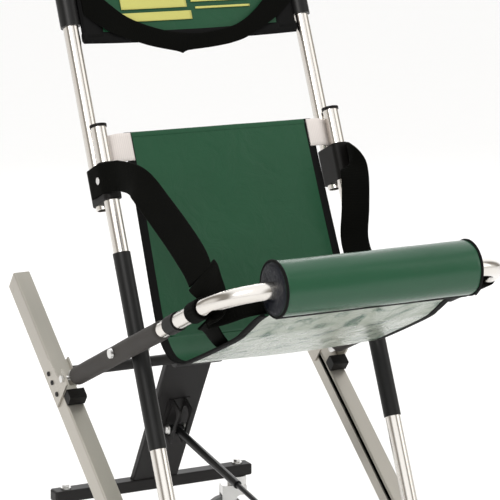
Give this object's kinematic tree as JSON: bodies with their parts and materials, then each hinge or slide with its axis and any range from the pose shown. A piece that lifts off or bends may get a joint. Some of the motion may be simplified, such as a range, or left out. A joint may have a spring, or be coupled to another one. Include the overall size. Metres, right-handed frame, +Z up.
{
  "type": "stair chair",
  "caption": "Folding evacuation stair chair with a fabric sling seat, belted glide rails, swivel castors and a telescoping push handle.",
  "frame": {"origin": "floor level under the middle of the bounding box", "axes": "+Z up, the seated person faces -Y, +X is their left"},
  "size_m": [0.5288, 0.8249, 1.327],
  "materials": {
    "tube_metal": "polished",
    "rail_metal": "satin",
    "bright_metal": "satin",
    "dark_metal": "matte",
    "black_plastic": "matte",
    "black_sleeve": "gloss",
    "black_foam": "matte",
    "arm_foam": "matte",
    "sling_fabric": "satin",
    "pale_webbing": "matte",
    "black_webbing": "matte",
    "belt_rubber": "matte",
    "wheel_rubber": "matte",
    "grey_plastic": "matte",
    "strut_black": "matte"
  },
  "bodies": {
    "frame": {"upright_left": "tube_metal", "upright_right": "tube_metal", "upright_sleeves": "black_sleeve", "upright_caps": "black_plastic", "clamp_blocks": "black_plastic", "clamp_bolts": "bright_metal", "lower_crossbar": "tube_metal", "main_axle": "bright_metal", "seat_pivot_bolts": "bright_metal", "rail_pivot_bolts": "bright_metal", "sling_back": "sling_fabric", "sling_tabs": "pale_webbing", "arm_strap_left": "black_webbing", "arm_strap_right": "black_webbing"},
    "handle": {"handle_tubes": "tube_metal", "push_handle": "tube_metal", "handle_grip": "black_foam", "headrest_panel": "sling_fabric", "headrest_sleeves": "black_sleeve", "head_strap": "black_webbing"},
    "seat": {"seat_tube": "tube_metal", "arm_sleeve_left": "arm_foam", "arm_sleeve_right": "arm_foam", "arm_end_eyes": "bright_metal", "seat_tube_wraps": "black_plastic", "strap_loops": "black_webbing", "bolster": "sling_fabric", "sling_seat": "sling_fabric"},
    "rails": {"rail_left": "rail_metal", "rail_right": "rail_metal", "rail_feet": "rail_metal", "rail_bracket_left": "rail_metal", "rail_bracket_right": "rail_metal", "bracket_screws": "dark_metal", "collar_blocks": "black_plastic", "rail_crossbar": "dark_metal", "glide_belt_left": "belt_rubber", "glide_belt_right": "belt_rubber", "pulley_pins": "rail_metal"},
    "stand": {"stand_leg": "dark_metal", "base_bar": "dark_metal", "strut_bracket": "dark_metal", "castor_bolts": "bright_metal"},
    "strut_lower": {"strut_rod": "strut_black"},
    "strut_upper": {"strut_cylinder": "strut_black"},
    "main_wheel_left": {"main_wheel_hub_left": "grey_plastic", "main_wheel_tyre_left": "wheel_rubber"},
    "main_wheel_right": {"main_wheel_hub_right": "grey_plastic", "main_wheel_tyre_right": "wheel_rubber"},
    "castor_left": {"castor_fork_left": "bright_metal"},
    "castor_roller_left": {"castor_wheel_left": "wheel_rubber"},
    "castor_right": {"castor_fork_right": "bright_metal"},
    "castor_roller_right": {"castor_wheel_right": "wheel_rubber"},
    "belt_pulley_lower_left_body": {"belt_pulley_lower_left": "grey_plastic"},
    "belt_pulley_upper_left_body": {"belt_pulley_upper_left": "grey_plastic"},
    "belt_pulley_lower_right_body": {"belt_pulley_lower_right": "grey_plastic"},
    "belt_pulley_upper_right_body": {"belt_pulley_upper_right": "grey_plastic"}
  },
  "joints": [
    {"name": "seat_fold", "type": "hinge", "parent": "frame", "child": "seat", "pos_m": [0, -0.01837, 0.47309], "axis": [1, 0, 0], "range_deg": [0, 75]},
    {"name": "rail_fold", "type": "hinge", "parent": "frame", "child": "rails", "pos_m": [0, -0.19054, 0.09], "axis": [1, 0, 0], "range_deg": [0, 21.3]},
    {"name": "stand_fold", "type": "hinge", "parent": "rails", "child": "stand", "pos_m": [0, 0.20729, 0.38984], "axis": [-1, 0, 0], "range_deg": [0, 63.9]},
    {"name": "strut_swing", "type": "hinge", "parent": "frame", "child": "strut_lower", "pos_m": [0, -0.15365, 0.17209], "axis": [1, 0, 0], "range_deg": [0, 34.5]},
    {"name": "strut_slide", "type": "slide", "parent": "strut_lower", "child": "strut_upper", "axis": [0, -0.9875, -0.1577], "range_m": [0, 0.1932]},
    {"name": "handle_slide", "type": "slide", "parent": "frame", "child": "handle", "axis": [0, 0.4099, 0.9121], "range_m": [-0.232, 0]},
    {"name": "main_wheel_roll_left", "type": "hinge", "parent": "frame", "child": "main_wheel_left", "pos_m": [0, -0.19683, 0.076], "axis": [1, 0, 0], "continuous": true},
    {"name": "main_wheel_roll_right", "type": "hinge", "parent": "frame", "child": "main_wheel_right", "pos_m": [0, -0.19683, 0.076], "axis": [1, 0, 0], "continuous": true},
    {"name": "castor_swivel_left", "type": "hinge", "parent": "stand", "child": "castor_left", "pos_m": [0.166, 0.3843, 0.1], "axis": [0, 0, 1], "continuous": true},
    {"name": "castor_roll_left", "type": "hinge", "parent": "castor_left", "child": "castor_roller_left", "pos_m": [0.14475, 0.38999, 0.0375], "axis": [-0.2588, -0.9659, 0], "continuous": true},
    {"name": "castor_swivel_right", "type": "hinge", "parent": "stand", "child": "castor_right", "pos_m": [-0.166, 0.3843, 0.1], "axis": [0, 0, 1], "continuous": true},
    {"name": "castor_roll_right", "type": "hinge", "parent": "castor_right", "child": "castor_roller_right", "pos_m": [-0.18725, 0.37861, 0.0375], "axis": [0.2588, -0.9659, 0], "continuous": true},
    {"name": "belt_pulley_lower_left_turn", "type": "hinge", "parent": "rails", "child": "belt_pulley_lower_left_body", "pos_m": [0, -0.13464, 0.08719], "axis": [1, 0, 0], "continuous": true},
    {"name": "belt_pulley_upper_left_turn", "type": "hinge", "parent": "rails", "child": "belt_pulley_upper_left_body", "pos_m": [0, 0.37719, 0.49431], "axis": [1, 0, 0], "continuous": true},
    {"name": "belt_pulley_lower_right_turn", "type": "hinge", "parent": "rails", "child": "belt_pulley_lower_right_body", "pos_m": [0, -0.13464, 0.08719], "axis": [1, 0, 0], "continuous": true},
    {"name": "belt_pulley_upper_right_turn", "type": "hinge", "parent": "rails", "child": "belt_pulley_upper_right_body", "pos_m": [0, 0.37719, 0.49431], "axis": [1, 0, 0], "continuous": true}
  ],
  "couplings": [
    {"joint": "rail_fold", "follows": "seat_fold", "ratio": 0.28267},
    {"joint": "stand_fold", "follows": "seat_fold", "ratio": 0.85067},
    {"joint": "strut_swing", "follows": "seat_fold", "ratio": 0.45758},
    {"joint": "strut_slide", "follows": "seat_fold", "m_per_rad": 0.1473},
    {"joint": "belt_pulley_upper_left_turn", "follows": "belt_pulley_lower_left_turn", "ratio": 1},
    {"joint": "belt_pulley_upper_right_turn", "follows": "belt_pulley_lower_right_turn", "ratio": 1}
  ]
}
